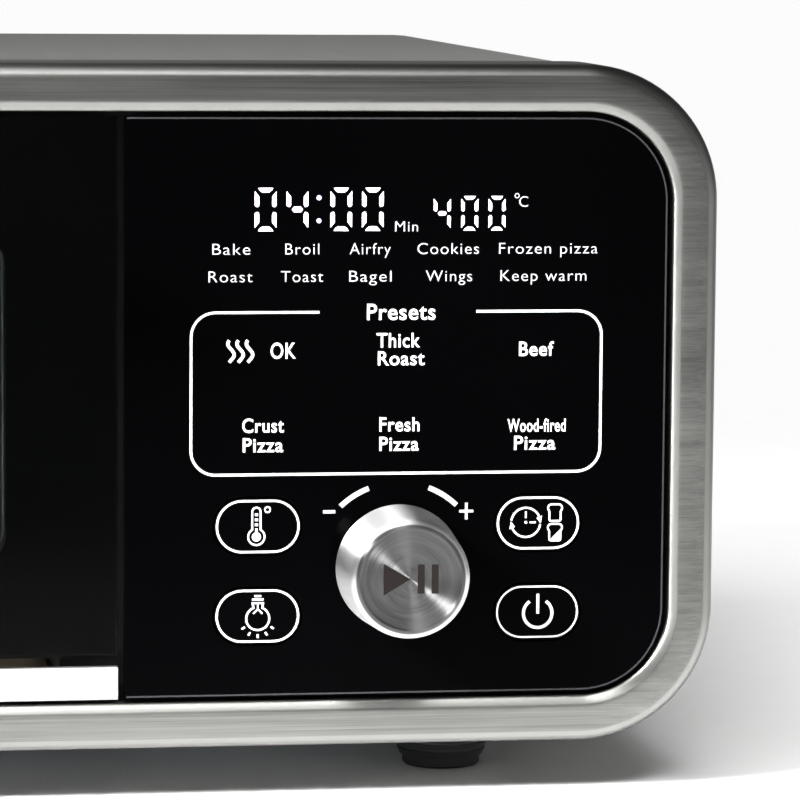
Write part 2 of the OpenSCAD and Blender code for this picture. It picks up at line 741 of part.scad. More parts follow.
module pizza_stone() color("#b9a88c")
    translate([0, 0, rack_z + 1.6]) linear_extrude(9)
        round_rect(rack_x[0] + 12, rack_x[1] - 12, rack_y[0] + 12, rack_y[1] - 12, 18);

// Shallow pan under the lower heaters, with its front lip below the door.
module crumb_tray() color("#8f9190") {
    wall = 0.8;
    difference() {
        box(tray_x[0], tray_x[1], y_glass + 3 - eps, tray_back, tray_z, tray_z + tray_rim);
        box(tray_x[0] + wall, tray_x[1] - wall, y_glass + 3 + wall, tray_back - wall,
            tray_z + wall, z_top_open);
    }
    slab(y_glass, y_glass + 3) intersection() {
        opening_shape(edge_gap);
        rect(-opening_w, door_x1, z_open, lip_top);
    }
    box(handle_cx - 35, handle_cx + 35, y_glass - 8, y_glass + eps, z_open + 3.4, z_open + 5.4);
    box(handle_cx - 35, handle_cx + 35, y_glass - 8, y_glass - 6.4, z_open + 3.4, z_open + 8.4);
}

front_frame();
front_bulkhead();
outer_wrap();
base_plate();
rear_panel();
rear_spacers();
feet();
foot_pads();
case_screws();
cord_gland();
cavity_shell();
compartment_wall();
insulation();
door_gasket();
rack_rails();
heater_upper_front();
heater_upper_rear();
heater_lower_front();
heater_lower_rear();
heater_supports();
heater_insulators();
temperature_probe();
thermal_cutout();
fan_pan();
fan_grille();
fan_motor();
motor_bracket();
fan_rotor();
cooling_rotor();
fan_shaft();
lamp_lens();
lamp_bulb();
lamp_holder();
control_glass();
panel_carrier();
control_board();
display_module();
key_switches();
encoder_housing();
encoder_plunger();
knob_spindle();
knob_hub();
control_knob();
temperature_key();
light_key();
timer_key();
power_key();
power_board();
power_parts();
ribbon_cable();
hinge_brackets();
hinge_pins();
door_frame();
door_liner();
door_glass();
inner_glass();
door_handle();
wire_rack();
pizza_stone();
crumb_tray();
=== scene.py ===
"""The looks of the toaster oven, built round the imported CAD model. Blender objects are in metres.

Panel artwork is drawn in millimetres on the control glass: u runs right from the knob's axis and v runs up
from the bottom of the front opening. Artwork on a key or the knob is drawn from the middle of its own face.
"""
import math

import bmesh
import bpy
from mathutils import Matrix, Vector
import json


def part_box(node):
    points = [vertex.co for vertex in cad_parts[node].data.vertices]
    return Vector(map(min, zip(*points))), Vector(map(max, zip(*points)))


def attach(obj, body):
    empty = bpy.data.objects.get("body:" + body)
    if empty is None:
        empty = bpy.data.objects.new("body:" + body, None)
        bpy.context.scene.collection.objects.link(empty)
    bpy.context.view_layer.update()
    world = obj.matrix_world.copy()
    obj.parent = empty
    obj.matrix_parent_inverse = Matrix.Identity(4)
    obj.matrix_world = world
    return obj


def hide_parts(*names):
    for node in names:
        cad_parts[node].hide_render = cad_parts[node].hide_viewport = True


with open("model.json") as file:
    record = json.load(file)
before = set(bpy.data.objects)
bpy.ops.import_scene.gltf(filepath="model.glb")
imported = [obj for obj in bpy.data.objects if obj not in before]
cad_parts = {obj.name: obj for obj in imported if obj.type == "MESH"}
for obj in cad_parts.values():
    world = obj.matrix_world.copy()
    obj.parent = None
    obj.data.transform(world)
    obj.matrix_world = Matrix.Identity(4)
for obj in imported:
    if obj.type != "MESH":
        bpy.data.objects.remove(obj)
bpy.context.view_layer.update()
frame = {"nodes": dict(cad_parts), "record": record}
nodes = frame["nodes"]

MM = 0.001


def centre_of(node):
    low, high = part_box(node)
    return (low + high) / 2


# ---------- places from the CAD model ----------

FRAME_LOW, FRAME_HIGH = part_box("front_frame")
GLASS_LOW, GLASS_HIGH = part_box("control_glass")
# The steel border's width, the opening's corner radius, and the gap between the opening and the control glass
BORDER = 14 * MM
OPENING_R = 26.5 * MM
EDGE_GAP = 1.2 * MM
OPENING_W = FRAME_HIGH.x - FRAME_LOW.x - 2 * BORDER
OPENING_H = FRAME_HIGH.z - FRAME_LOW.z - 2 * BORDER
OPENING_Z = FRAME_LOW.z + BORDER
KNOB = centre_of("control_knob")
GLASS_Y = GLASS_LOW.y
# How far the printed artwork stands proud of its face
INK = 0.06 * MM


# ---------- materials ----------

class Surface:
    """A Principled material, with short calls for the nodes that vary it."""

    def __init__(self, name, color, roughness, metallic=0.0, **constants):
        self.material = bpy.data.materials.new(name)
        self.material.use_nodes = True
        self.material.diffuse_color = (*color, 1.0)
        self.tree = self.material.node_tree
        self.shader = self.tree.nodes["Principled BSDF"]
        self.shader.inputs["Base Color"].default_value = (*color, 1.0)
        self.shader.inputs["Roughness"].default_value = roughness
        self.shader.inputs["Metallic"].default_value = metallic
        for socket, value in constants.items():
            self.shader.inputs[socket.replace("_", " ")].default_value = value
        self.place = self.tree.nodes.new("ShaderNodeTexCoord").outputs["Object"]

    def node(self, kind, inputs=(), **settings):
        made = self.tree.nodes.new(kind)
        for key, value in settings.items():
            setattr(made, key, value)
        for key, value in dict(inputs).items():
            if isinstance(value, bpy.types.NodeSocket):
                self.tree.links.new(value, made.inputs[key])
            else:
                made.inputs[key].default_value = value
        return made

    def calc(self, operation, *values):
        return self.node("ShaderNodeMath", dict(enumerate(values)), operation=operation).outputs[0]

    def vector(self, operation, *values):
        return self.node("ShaderNodeVectorMath", dict(enumerate(values)), operation=operation).outputs[0]

    def scaled(self, value, share):
        """A vector times a number."""
        return self.node("ShaderNodeVectorMath", {0: value, "Scale": share}, operation="SCALE").outputs[0]

    def length(self, value):
        return self.node("ShaderNodeVectorMath", {0: value}, operation="LENGTH").outputs["Value"]

    def axes(self, value):
        """The X, Y and Z outputs of a vector."""
        return self.node("ShaderNodeSeparateXYZ", {0: value}).outputs

    def normal(self):
        return self.node("ShaderNodeNewGeometry").outputs["Normal"]

    def stretched(self, scale, place=None):
        """Coordinates scaled by a different amount along each axis."""
        return self.node("ShaderNodeMapping", {"Vector": place or self.place, "Scale": scale}).outputs[0]

    def noise(self, scale=1.0, detail=3.0, rough=0.55, stretch=(1, 1, 1), place=None):
        where = self.stretched(stretch, place)
        return self.node("ShaderNodeTexNoise", {"Vector": where, "Scale": scale, "Detail": detail,
                                                "Roughness": rough}).outputs["Fac"]

    def cells(self, scale):
        where = self.stretched((1, 1, 1))
        return self.node("ShaderNodeTexVoronoi", {"Vector": where, "Scale": scale}).outputs[0]

    def spread(self, value, low, high, to_low=0.0, to_high=1.0):
        """Maps low..high of a value to to_low..to_high."""
        return self.node("ShaderNodeMapRange", {"Value": value, "From Min": low, "From Max": high,
                                                "To Min": to_low, "To Max": to_high}).outputs[0]

    def add(self, a, b, share=0.5):
        """Mixes two values."""
        mixed = self.node("ShaderNodeMix", {"Factor": share}, data_type="FLOAT")
        self.tree.links.new(a, mixed.inputs["A"])
        self.tree.links.new(b, mixed.inputs["B"])
        return mixed.outputs["Result"]

    def color(self, value, dark, light):
        ramp = self.node("ShaderNodeValToRGB", {"Fac": value})
        ramp.color_ramp.elements[0].color = (*dark, 1.0)
        ramp.color_ramp.elements[1].color = (*light, 1.0)
        self.tree.links.new(ramp.outputs["Color"], self.shader.inputs["Base Color"])
        return self

    def roughness(self, value, low, high):
        self.tree.links.new(self.spread(value, 0.3, 0.7, low, high), self.shader.inputs["Roughness"])
        return self

    def bump(self, value, depth, strength=1.0):
        made = self.node("ShaderNodeBump", {"Height": value, "Distance": depth, "Strength": strength})
        self.tree.links.new(made.outputs["Normal"], self.shader.inputs["Normal"])
        return self


def turned_grain(surface, place, grain_line):
    """Turns a grain along X, and the places it is drawn from, to run along Z on faces that look along X."""
    side = surface.spread(surface.calc("ABSOLUTE", surface.axes(surface.normal())["X"]), 0.6, 0.8)
    x, y, z = surface.axes(place)
    swapped = surface.node("ShaderNodeCombineXYZ", {0: z, 1: y, 2: x}).outputs[0]
    change = surface.scaled(surface.vector("SUBTRACT", swapped, place), side)
    turn = surface.scaled((-1, 0, 1), side)
    return surface.vector("ADD", place, change), surface.vector("ADD", grain_line, turn)


def rolled_edge_highlight(surface):
    """One on faces that slope between the front and the sides, and zero on the rest: the mask of a painted
    highlight on the rolled edge.
    """
    front = surface.calc("ABSOLUTE", surface.axes(surface.normal())["Y"])
    not_side, not_front = surface.spread(front, 0.6, 0.8), surface.spread(front, 0.94, 0.98, 1.0, 0.0)
    return surface.calc("MULTIPLY", not_side, not_front)


def brushed_steel(name, color, along, roughness=0.3, streak=0.5, anisotropic=0.55, blotch=0.15,
                  wrap=False):
    """Steel brushed along X or Y: fine streaks, slow blotches and a highlight stretched across them.

    With wrap, the grain of a frame brushed along X turns with its sides, and its rolled edge is painted
    lighter, a painted highlight.
    """
    surface = Surface(name, color, roughness, 1.0, Anisotropic=anisotropic)
    grain_line = [1.0 if axis == along else 0.0 for axis in "XYZ"]
    place = surface.place
    if wrap:
        place, grain_line = turned_grain(surface, place, grain_line)
    across = surface.vector("CROSS_PRODUCT", surface.normal(), grain_line)
    surface.tree.links.new(across, surface.shader.inputs["Tangent"])

    def streaks(with_grain, over_grain, detail, rough):
        """Noise stretched along the grain, with its scale along the grain and across it."""
        scale = [with_grain if axis == along else over_grain for axis in "XYZ"]
        return surface.noise(1.0, detail, rough, scale, place)

    lines = streaks(14.0, 2600.0, 4.0, 0.65)
    bands = streaks(8.4, 420.0, 3.0, 0.6)
    clouds = streaks(5.0, 34.0, 3.0, 0.6)
    grain = surface.add(lines, bands, 0.4)
    shade = surface.add(grain, clouds, blotch)
    dark = [c * (1.0 - 0.5 * streak) for c in color]
    light = [min(1.0, c * (1.0 + 0.4 * streak)) for c in color]
    tone = surface.spread(shade, 0.36, 0.64)
    if wrap:
        # On the rolled edge the colour is raised to the light end of the ramp, a painted highlight.
        tone = surface.calc("MAXIMUM", tone, rolled_edge_highlight(surface))
    surface.color(tone, dark, light)
    surface.roughness(shade, roughness * 0.8, roughness * 1.3)
    surface.bump(grain, 0.02 * MM, 0.35)
    return surface.material


def spun_steel(name, color, axis_point, rim_at):
    """Steel turned about an axis along Y: a satin face in concentric rings, and a polished rim. The face's
    colour is painted far darker than the rim's, a painted shade on the face and a painted highlight on the
    rim.
    """
    surface = Surface(name, color, 0.4, 1.0, Anisotropic=1.0, Anisotropic_Rotation=0.25)
    offset = surface.vector("SUBTRACT", surface.place, axis_point)
    flat = surface.vector("MULTIPLY", offset, (1, 0, 1))
    radius = surface.length(flat)
    along = surface.calc("ADD", radius, surface.axes(offset)["Y"])
    turn = surface.vector("NORMALIZE", flat)

    def turned(per_metre, scale, detail):
        """Noise that changes fast out from the axis and slowly round it."""
        inputs = {"Vector": turn, "W": surface.calc("MULTIPLY", along, per_metre),
                  "Scale": scale, "Detail": detail}
        return surface.node("ShaderNodeTexNoise", inputs, noise_dimensions="4D").outputs["Fac"]

    rings = turned(5200.0, 0.9, 3.0)
    bands = turned(700.0, 0.7, 2.0)
    shade = surface.add(rings, bands, 0.45)
    # The face is coloured almost black and the rim full bright: painted shade on the face and a painted
    # highlight on the rim.
    rim = surface.spread(radius, rim_at - 0.4 * MM, rim_at)
    tone = surface.add(surface.spread(shade, 0.3, 0.7), rim, 0.84)
    surface.color(tone, [c * 0.08 for c in color], color)
    surface.roughness(shade, 0.32, 0.42)
    surface.bump(rings, 0.006 * MM, 0.4)
    tangent = surface.node("ShaderNodeTangent", direction_type="RADIAL", axis="Y").outputs[0]
    surface.tree.links.new(tangent, surface.shader.inputs["Tangent"])
    return surface.material


def plain_metal(name, color, roughness, grain=900.0, depth=0.02, metallic=1.0):
    """Rolled or plated sheet: a fine even grain, with slow changes of shade and gloss."""
    surface = Surface(name, color, roughness, metallic)
    fine = surface.noise(grain, 3.0)
    clouds = surface.noise(11.0, 4.0, 0.6)
    shade = surface.add(fine, clouds, 0.6)
    surface.color(surface.spread(shade, 0.35, 0.65),
                  [c * 0.82 for c in color], [min(1, c * 1.12) for c in color])
    surface.roughness(shade, roughness * 0.8, roughness * 1.25)
    surface.bump(fine, depth * MM, 0.5)
    return surface.material


def moulded(name, color, roughness, grain=1400.0, depth=0.03):
    """Moulded plastic or rubber with a spark-eroded texture."""
    surface = Surface(name, color, roughness, 0.0, Specular_IOR_Level=0.4)
    pits = surface.noise(grain, 2.0)
    clouds = surface.noise(25.0, 2.0)
    surface.color(surface.spread(surface.add(pits, clouds, 0.5), 0.35, 0.65),
                  [c * 0.8 for c in color], [min(1, c * 1.2) for c in color])
    surface.roughness(clouds, roughness * 0.85, roughness * 1.15)
    surface.bump(pits, depth * MM, 0.6)
    return surface.material


def black_glass(name):
    """Glass printed black on its back: a faint gloss, with slight unevenness from the print."""
    surface = Surface(name, (0.0003, 0.0003, 0.0004), 0.06, 0.0, Specular_IOR_Level=0.006)
    waves = surface.noise(9.0, 2.0)
    surface.color(waves, (0.0002, 0.0002, 0.0003), (0.0005, 0.0005, 0.0006))
    surface.roughness(waves, 0.04, 0.08)
    surface.bump(waves, 0.02 * MM, 0.2)
    return surface.material


def clear_glass(name, tint, roughness, ior=1.45):
    """Float or drawn glass: nearly even, with slow changes of tint. Frosted glass is grained as well."""
    surface = Surface(name, tint, roughness, 0.0, Transmission_Weight=1.0, IOR=ior)
    waves = surface.noise(5.0, 1.0)
    surface.color(waves, [c * 0.94 for c in tint], tint)
    if roughness:
        surface.roughness(waves, roughness * 0.7, roughness * 1.3)
        surface.bump(surface.noise(500.0, 2.0), 0.02 * MM, 0.3)
    return surface.material


def lit_glass(name):
    """Ribbed lamp cover with the lamp alight behind it."""
    surface = Surface(name, (0.9, 0.86, 0.78), 0.35, 0.0, Emission_Strength=1.6)
    surface.shader.inputs["Emission Color"].default_value = (1.0, 0.72, 0.42, 1.0)
    ribs = surface.node("ShaderNodeTexWave", {"Vector": surface.place, "Scale": 90.0},
                        wave_type="BANDS", bands_direction="Z").outputs["Fac"]
    surface.color(ribs, (0.75, 0.7, 0.6), (0.95, 0.92, 0.86))
    surface.roughness(ribs, 0.3, 0.45)
    surface.bump(ribs, 0.5 * MM, 0.6)
    return surface.material


def ink(name, color, glow):
    """Screen-printed or back-lit artwork. The glow is emitted light; on the screen-printed inks it is a
    painted glow.
    """
    surface = Surface(name, color, 0.5, 0.0, Emission_Strength=glow, Specular_IOR_Level=0.15)
    surface.shader.inputs["Emission Color"].default_value = (*color, 1.0)
    edge = surface.noise(1500.0, 2.0)
    surface.color(edge, [c * 0.9 for c in color], color)
    return surface.material


def heater_finish():
    """Oxidised sheath: brown-grey, with paler patches where it has been hottest."""
    surface = Surface("heater_sheath", (0.16, 0.13, 0.11), 0.55, 0.7)
    patches = surface.noise(30.0, 5.0, 0.7)
    speckle = surface.noise(900.0, 3.0)
    shade = surface.add(patches, speckle, 0.35)
    surface.color(surface.spread(shade, 0.38, 0.62), (0.06, 0.045, 0.04), (0.25, 0.21, 0.18))
    surface.roughness(shade, 0.45, 0.7)
    surface.bump(speckle, 0.05 * MM, 0.6)
    return surface.material


def ceramic(name, dark, light, grain=350.0, depth=0.15, spots=0.0):
    surface = Surface(name, light, 0.85, 0.0)
    coarse = surface.noise(grain, 6.0, 0.7)
    clouds = surface.noise(14.0, 4.0, 0.65)
    shade = surface.add(coarse, clouds, 0.5)
    if spots:
        shade = surface.add(shade, surface.cells(spots), 0.2)
    surface.color(surface.spread(shade, 0.34, 0.66), dark, light)
    surface.roughness(coarse, 0.75, 0.95)
    surface.bump(coarse, depth * MM, 0.7)
    return surface.material


def woven(name, color, pitch, depth):
    """Braid or blanket: two crossing waves, with loose fibres over them."""
    surface = Surface(name, color, 0.9, 0.0, Sheen_Weight=0.3)
    over = surface.node("ShaderNodeTexWave", {"Vector": surface.place, "Scale": pitch, "Distortion": 1.5},
                        wave_type="BANDS", bands_direction="DIAGONAL").outputs["Fac"]
    fibres = surface.noise(pitch * 3.0, 5.0, 0.7)
    shade = surface.add(over, fibres, 0.5)
    surface.color(shade, [c * 0.55 for c in color], color)
    surface.roughness(fibres, 0.8, 1.0)
    surface.bump(shade, depth * MM, 0.9)
    return surface.material


def circuit(name, color):
    """Solder mask over copper tracks."""
    surface = Surface(name, color, 0.35, 0.0)
    tracks = surface.node("ShaderNodeTexBrick", {"Vector": surface.place, "Scale": 90.0, "Mortar Size": 0.012,
                                                 "Color1": (0, 0, 0, 1), "Color2": (0.25, 0.25, 0.25, 1),
                                                 "Mortar": (1, 1, 1, 1)}).outputs["Fac"]
    haze = surface.noise(60.0, 3.0)
    shade = surface.add(tracks, haze, 0.4)
    surface.color(shade, color, [min(1, c * 2.0 + 0.02) for c in color])
    surface.bump(tracks, 0.04 * MM, 0.6)
    surface.roughness(haze, 0.3, 0.45)
    return surface.material


def block_parts(name):
    """Parts on a board: dark bodies, with a change of shade from one to the next."""
    surface = Surface(name, (0.05, 0.07, 0.12), 0.45, 0.0)
    blocks = surface.cells(34.0)
    grain = surface.noise(900.0, 2.0)
    surface.color(surface.add(blocks, grain, 0.3), (0.012, 0.014, 0.02), (0.09, 0.14, 0.3))
    surface.roughness(grain, 0.35, 0.6)
    surface.bump(grain, 0.04 * MM, 0.6)
    return surface.material


MATERIALS = {
    # The front frame's steel is coloured far darker than the same steel on the case, a painted shade.
    "steel_front": brushed_steel("steel_front", (0.13, 0.13, 0.124), "X", 0.31, 0.8, 0.8, 0.35, True),
    "steel_case": brushed_steel("steel_case", (0.36, 0.358, 0.345), "Y", 0.42, 0.4, 0.7, 0.12),
    "steel_knob": spun_steel("steel_knob", (0.52, 0.52, 0.52), (KNOB.x, KNOB.y, KNOB.z), 16.4 * MM),
    "steel_handle": brushed_steel("steel_handle", (0.60, 0.60, 0.59), "X", 0.28, 0.4),
    "steel_bright": brushed_steel("steel_bright", (0.46, 0.46, 0.45), "X", 0.36, 0.4, 0.5),
    "steel_zinc": plain_metal("steel_zinc", (0.50, 0.52, 0.54), 0.38),
    "chrome_wire": plain_metal("chrome_wire", (0.74, 0.75, 0.76), 0.14, 500.0, 0.01),
    "steel_painted": plain_metal("steel_painted", (0.018, 0.018, 0.019), 0.48, 1300.0, 0.05, 0.0),
    "glass_panel": black_glass("glass_panel"),
    "glass_print": black_glass("glass_print"),
    "glass_door": clear_glass("glass_door", (0.42, 0.43, 0.44), 0.0, ior=1.1),
    "glass_inner": clear_glass("glass_inner", (0.86, 0.9, 0.89), 0.0, ior=1.15),
    "glass_lamp": lit_glass("glass_lamp"),
    "lamp_glass": clear_glass("lamp_glass", (1.0, 0.95, 0.85), 0.4),
    "heater_sheath": heater_finish(),
    "ceramic_white": ceramic("ceramic_white", (0.66, 0.62, 0.55), (0.86, 0.83, 0.77)),
    "ceramic_stone": ceramic("ceramic_stone", (0.36, 0.27, 0.18), (0.62, 0.52, 0.38), 260.0, 0.35, 900.0),
    "wool": woven("wool", (0.72, 0.68, 0.56), 260.0, 0.8),
    "seal_braid": woven("seal_braid", (0.13, 0.125, 0.12), 420.0, 0.4),
    "plastic_black": moulded("plastic_black", (0.017, 0.017, 0.018), 0.48),
    "plastic_key": black_glass("plastic_key"),
    "plastic_white": moulded("plastic_white", (0.62, 0.61, 0.58), 0.45),
    "rubber_black": moulded("rubber_black", (0.022, 0.022, 0.022), 0.8, 1100.0, 0.06),
    "circuit_green": circuit("circuit_green", (0.012, 0.1, 0.035)),
    "electronics": block_parts("electronics"),
    "motor_iron": plain_metal("motor_iron", (0.30, 0.26, 0.23), 0.5, 700.0, 0.08),
    # The white and grey printed inks are given a faint glow though nothing lights them, a painted glow.
    "ink_white": ink("ink_white", (0.66, 0.66, 0.66), 0.27),
    "ink_soft": ink("ink_soft", (0.38, 0.38, 0.39), 0.22),
    # Dark grey for the painted highlight along the control glass's edge.
    "edge_highlight_grey": ink("edge_highlight_grey", (0.02, 0.02, 0.022), 0.0),
    "ink_dark": ink("ink_dark", (0.004, 0.002, 0.0018), 0.0),
    "display_light": ink("display_light", (0.90, 0.82, 0.91), 1.0),
    "colon_light": ink("colon_light", (0.52, 0.48, 0.72), 0.9),
}


def finish_cad_nodes():
    """Gives every CAD node the material of its slot."""
    for part in frame["record"]["subparts"]:
        mesh = nodes[part["node"]].data
        mesh.materials.clear()
        mesh.materials.append(MATERIALS[part["material_slot"]])


# ---------- mesh tools ----------

def new_piece(name, points, faces, material, body, angle):
    """A closed mesh, smooth except where it turns by more than the angle, riding on a body."""
    mesh = bpy.data.meshes.new(name)
    made = bmesh.new()
    corners = [made.verts.new(p) for p in points]
    for face in faces:
        made.faces.new([corners[i] for i in face])
    bmesh.ops.remove_doubles(made, verts=made.verts, dist=1e-7)
    bmesh.ops.recalc_face_normals(made, faces=made.faces)
    made.to_mesh(mesh)
    made.free()
    mesh.materials.append(MATERIALS[material])
    mesh.shade_smooth()
    mesh.set_sharp_from_angle(angle=math.radians(angle))
    piece = bpy.data.objects.new(name, mesh)
    bpy.context.scene.collection.objects.link(piece)
    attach(piece, body)
    return piece


class Shape:
    """Points and faces that several closed forms add up to."""

    def __init__(self):
        self.points = []
        self.faces = []

    def add(self, points, faces):
        start = len(self.points)
        self.points += [Vector(p) for p in points]
        self.faces += [[start + i for i in face] for face in faces]

    def tube(self, rings, closed_path=False):
        """Joins rings of equal count; an open tube gets end caps."""
        count = len(rings[0])
        points = [p for ring in rings for p in ring]
        last = len(rings) if closed_path else len(rings) - 1
        faces = []
        for i in range(last):
            j = (i + 1) % len(rings)
            for k in range(count):
                m = (k + 1) % count
                faces.append([i * count + k, i * count + m, j * count + m, j * count + k])
        if not closed_path:
            faces.append(list(range(count))[::-1])
            faces.append([(len(rings) - 1) * count + k for k in range(count)])
        self.add(points, faces)

    def lathe(self, centre, axis, profile, steps):
        """Turns (radius, height) points about an axis; the profile starts and ends on the axis."""
        spin = Vector(axis).to_track_quat("Z", "Y").to_matrix()
        points, faces = [], []
        inner = profile[1:-1]
        for k in range(steps):
            a = 2 * math.pi * k / steps
            for radius, height in inner:
                points.append(spin @ Vector((radius * math.cos(a), radius * math.sin(a), height)))
        ends = len(points)
        points += [spin @ Vector((0, 0, profile[0][1])), spin @ Vector((0, 0, profile[-1][1]))]
        n = len(inner)
        for k in range(steps):
            m = (k + 1) % steps
            faces.append([ends, m * n, k * n])
            faces.append([ends + 1, k * n + n - 1, m * n + n - 1])
            for i in range(n - 1):
                faces.append([k * n + i, m * n + i, m * n + i + 1, k * n + i + 1])
        self.add([Vector(centre) + p for p in points], faces)

    def prism(self, outline, to_front, to_back):
        """A flat outline given depth: to_front and to_back turn a point of it into space."""
        n = len(outline)
        points = [to_front(p) for p in outline] + [to_back(p) for p in outline]
        faces = [list(range(n)), [n + i for i in range(n)][::-1]]
        faces += [[i, n + i, n + (i + 1) % n, (i + 1) % n] for i in range(n)]
        self.add(points, faces)

    def piece(self, name, material, body, angle):
        return new_piece(name, self.points, self.faces, material, body, angle)


def arc(centre, radius, start, end, steps):
    """Points on an arc, angles in degrees."""
    angles = [math.radians(start + (end - start) * i / steps) for i in range(steps + 1)]
    return [(centre[0] + radius * math.cos(a), centre[1] + radius * math.sin(a)) for a in angles]


def rounded_outline(x0, x1, z0, z1, radii, steps=12):
    """Rectangle with its own radius at each corner: lower left, lower right, upper right, upper left."""
    spots = [(x0, z0, 1, 1, 180), (x1, z0, -1, 1, 270), (x1, z1, -1, -1, 0), (x0, z1, 1, -1, 90)]
    outline = []
    for (x, z, sx, sz, start), r in zip(spots, radii):
        outline += arc((x + sx * r, z + sz * r), r, start, start + 90, steps) if r else [(x, z)]
    return outline


def soften(node, width):
    """Breaks the sharp edges of a CAD node with a bevel of a width in millimetres, by modifiers alone."""
    piece = nodes[node]
    weld = piece.modifiers.new("weld", "WELD")
    weld.merge_threshold = 1e-6
    merge = piece.modifiers.new("flat_faces", "DECIMATE")
    merge.decimate_type = "DISSOLVE"
    merge.angle_limit = math.radians(0.3)
    bevel = piece.modifiers.new("broken_edges", "BEVEL")
    bevel.width = width * MM
    bevel.segments = 2
    bevel.limit_method = "ANGLE"
    bevel.angle_limit = math.radians(50)


def soften_nodes():
    for node, width in (("control_glass", 0.45), ("door_glass", 0.6), ("crumb_tray", 0.25),
                        ("pizza_stone", 1.5), ("rear_spacers", 1.0), ("cord_gland", 0.5),
                        ("inner_glass", 0.4), ("temperature_key", 0.12), ("light_key", 0.12),
                        ("timer_key", 0.12), ("power_key", 0.12)):
        soften(node, width)


# ---------- panel artwork ----------

def on_panel(lift):
    """Turns (u, v) in millimetres into a point lift above the control glass."""
    return lambda p: Vector((KNOB.x + p[0] * MM, GLASS_Y - lift, OPENING_Z + p[1] * MM))


def on_face(x, z, y):
    """Turns (u, v) in millimetres from (x, z) into a point at depth y."""
    return lambda p: Vector((x + p[0] * MM, y, z + p[1] * MM))


class Print:
    """Flat artwork on a face: outlines and strokes given a film's thickness."""

    def __init__(self, front, back):
        self.shape = Shape()
        self.front = front
        self.back = back

    def area(self, outline):
        self.shape.prism(outline, self.front, self.back)

    def disc(self, centre, radius, steps=28):
        self.area(arc(centre, radius, 0, 360, steps)[:-1])

    def stroke(self, points, width, closed=False):
        """A ribbon of even width along points, mitred at its turns."""
        left, right = [], []
        n = len(points)
        for i, p in enumerate(points):
            before = points[i - 1] if i or closed else p
            after = points[(i + 1) % n] if i < n - 1 or closed else p
            a = Vector((p[0] - before[0], p[1] - before[1]))
            b = Vector((after[0] - p[0], after[1] - p[1]))
            a = a.normalized() if a.length > 1e-9 else b.normalized()
            b = b.normalized() if b.length > 1e-9 else a
            along = (a + b).normalized()
            side = Vector((-along.y, along.x)) * (width / 2 / max(0.35, along.dot(a)))
            left.append((p[0] + side.x, p[1] + side.y))
            right.append((p[0] - side.x, p[1] - side.y))
        rings = [[self.front(l), self.front(r), self.back(r), self.back(l)] for l, r in zip(left, right)]
        self.shape.tube(rings, closed)

    def ring(self, centre, radius, width, steps=20):
        self.stroke(arc(centre, radius, 0, 360, steps)[:-1], width, True)

    def capsule(self, centre, w, h, r, width):
        x, z = centre
        outline = rounded_outline(x - w / 2, x + w / 2, z - h / 2, z + h / 2, [r] * 4)
        self.stroke(outline, width, True)

    def words(self, text, centre, baseline, width, cap, weight=0.0, gap=1.0):
        """Lettering fitted to a width and a capital height."""
        curve = bpy.data.curves.new("words", "FONT")
        curve.body = text
        curve.size = 1.0
        curve.offset = weight
        curve.space_character = gap
        curve.resolution_u = 5
        holder = bpy.data.objects.new("words", curve)
        flat = bpy.data.meshes.new_from_object(holder)
        xs = [v.co.x for v in flat.vertices]
        scale_x = width / (max(xs) - min(xs))
        scale_z = cap / (CAP_HEIGHT + 2 * weight)
        left = centre - width / 2 - min(xs) * scale_x
        bottom = baseline + weight * scale_z
        bm = bmesh.new()
        bm.from_mesh(flat)
        bmesh.ops.remove_doubles(bm, verts=bm.verts, dist=1e-5)
        points = [(left + v.co.x * scale_x, bottom + v.co.y * scale_z) for v in bm.verts]
        bm.verts.index_update()
        n = len(points)
        faces = [[v.index for v in f.verts] for f in bm.faces]
        faces += [[n + v.index for v in f.verts][::-1] for f in bm.faces]
        for e in bm.edges:
            if len(e.link_faces) == 1:
                a, b = (v.index for v in e.verts)
                faces.append([a, b, n + b, n + a])
        bm.free()
        self.shape.add([self.front(p) for p in points] + [self.back(p) for p in points], faces)
        bpy.data.objects.remove(holder)
        bpy.data.curves.remove(curve)
        bpy.data.meshes.remove(flat)

    def piece(self, name, material, body):
        return self.shape.piece(name, material, body, 60)


def cap_height():
    """Height of a capital in the built-in font at size 1."""
    curve = bpy.data.curves.new("capital", "FONT")
    curve.body = "H"
    holder = bpy.data.objects.new("capital", curve)
    mesh = bpy.data.meshes.new_from_object(holder)
    height = max(v.co.y for v in mesh.vertices) - min(v.co.y for v in mesh.vertices)
    bpy.data.objects.remove(holder)
    bpy.data.curves.remove(curve)
    bpy.data.meshes.remove(mesh)
    return height


CAP_HEIGHT = cap_height()

# Words of the two upper rows: text, middle, width
ROW_ONE = [("Bake", -50.2, 11.2), ("Broil", -29.2, 10.1), ("Airfry", -9.0, 12.2), ("Cookies", 14.3, 18.4),
           ("Frozen pizza", 44.4, 29.7)]
ROW_TWO = [("Roast", -50.4, 13.0), ("Toast", -29.2, 12.5), ("Bagel", -8.9, 12.6), ("Wings", 14.6, 13.9),
           ("Keep warm", 43.0, 25.9)]
# Bold words: text, middle, baseline, width, capital height
BOLD = [("Presets", 0.4, 113.5, 20.5, 4.8),
        ("Thick", -0.4, 105.3, 13.0, 4.3), ("Roast", 0.5, 100.0, 14.0, 4.2),
        ("OK", -34.7, 102.2, 7.5, 4.7), ("Beef", 41.1, 102.5, 10.5, 4.3),
        ("Crust", -40.6, 80.3, 12.4, 4.2), ("Pizza", -40.6, 74.5, 12.0, 4.2),
        ("Fresh", 0.1, 80.3, 12.0, 4.2), ("Pizza", 0.0, 74.5, 11.8, 4.2),
        ("Wood-fired", 41.4, 79.8, 17.6, 3.9), ("Pizza", 40.9, 74.4, 12.5, 4.2)]


